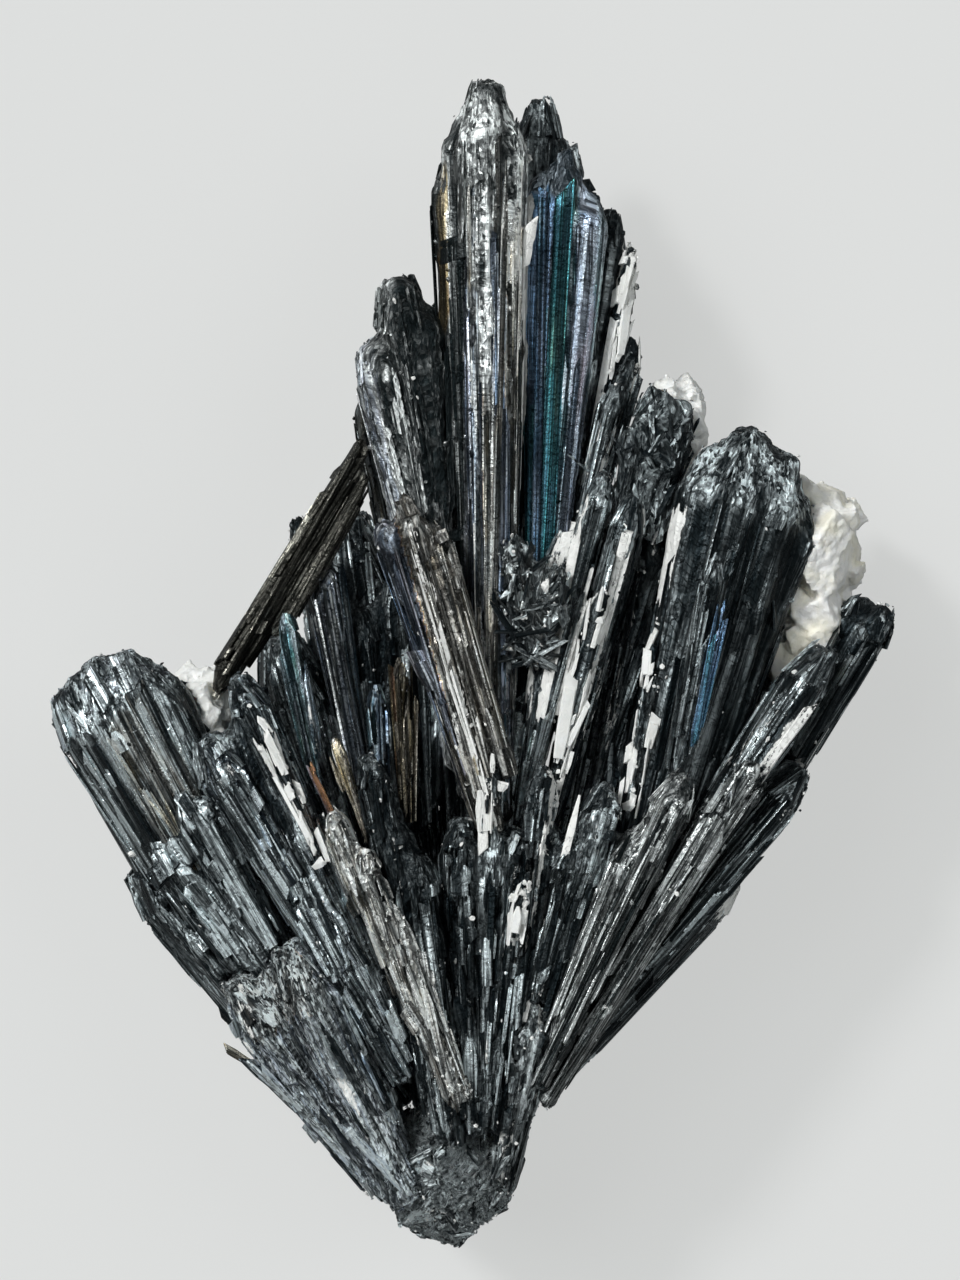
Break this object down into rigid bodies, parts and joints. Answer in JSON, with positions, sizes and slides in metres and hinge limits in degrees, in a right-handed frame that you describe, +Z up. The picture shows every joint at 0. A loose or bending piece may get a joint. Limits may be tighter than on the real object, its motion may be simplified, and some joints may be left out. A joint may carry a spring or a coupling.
{
  "type": "stibnite crystal spray",
  "caption": "Mineral specimen: a fan of bladed, striated metallic grey stibnite prisms with white calcite, radiating from a blunt root, lying on its back",
  "frame": {"origin": "the middle of the specimen's box in X and Y, on the floor it lies on, Z = 0", "axes": "+Y runs from the broken root to the tip of the crown, +X to the right of the show face, +Z up, out of the show face"},
  "size_m": [0.1436, 0.1992, 0.0506],
  "materials": {
    "stibnite_steel": "dark lead-grey, lengthwise striated prism faces with a metallic lustre",
    "stibnite_silver": "bright silver-grey, finely striated cleavage with a strong metallic lustre",
    "stibnite_blue": "striated, with an iridescent blue to teal tarnish",
    "stibnite_bronze": "striated, with an iridescent gold to olive tarnish",
    "stibnite_massive": "rough, fine-grained and crusted, dull lead-grey",
    "calcite_white": "white, finely cleaved and sugary",
    "calcite_cream": "cream white, blocky, smooth on its cleavage faces"
  },
  "bodies": {
    "root": {"root_stump": "stibnite_massive", "root_apron": "stibnite_massive", "root_shoulder": "stibnite_massive", "crown_spire": "stibnite_silver", "diagonal_ribs": "stibnite_silver", "left_shoulder": "stibnite_silver", "crown_sail": "stibnite_blue", "crown_peak": "stibnite_steel", "crown_flank": "stibnite_steel", "crown_fringe": "stibnite_steel", "left_back_prism": "stibnite_steel", "heart_rubble": "stibnite_massive", "center_spine": "stibnite_steel", "center_left": "stibnite_steel", "center_right": "stibnite_steel", "left_ridge": "stibnite_silver", "left_horn": "stibnite_steel", "horn_skirt": "stibnite_steel", "left_flank_inner": "stibnite_steel", "left_flank_middle": "stibnite_steel", "left_flank_outer": "stibnite_steel", "right_shoulder": "stibnite_steel", "right_step": "stibnite_steel", "right_fan_inner": "stibnite_silver", "right_fan_middle": "stibnite_silver", "right_fan_outer": "stibnite_steel", "right_horn": "stibnite_steel", "right_tangle": "stibnite_steel", "right_blade_near": "stibnite_steel", "right_blade_middle": "stibnite_steel", "right_blade_far": "stibnite_steel", "flat_rod": "stibnite_steel", "blue_rod": "stibnite_blue", "pocket_wall": "stibnite_steel", "cross_blade": "stibnite_bronze", "knob_prism": "stibnite_steel", "pocket_grey_blade": "stibnite_silver", "pocket_teal_rod": "stibnite_blue", "pocket_yellow_rod": "stibnite_bronze", "pocket_orange_lath": "stibnite_bronze", "pocket_rod_left": "stibnite_steel", "pocket_rod_middle": "stibnite_bronze", "pocket_rod_right": "stibnite_steel", "stray_needle": "stibnite_bronze", "calcite_block": "calcite_cream", "calcite_crown_rim": "calcite_white", "calcite_top": "calcite_white", "calcite_knob": "calcite_white", "calcite_tail": "calcite_white", "calcite_vein_near": "calcite_white", "calcite_vein_far": "calcite_white", "calcite_vein_left": "calcite_white", "calcite_chip": "calcite_white", "back_fan_left": "stibnite_steel", "back_fan_inner_left": "stibnite_steel", "back_fan_center": "stibnite_steel", "back_fan_inner_right": "stibnite_steel", "back_fan_right": "stibnite_steel"}
  },
  "joints": []
}
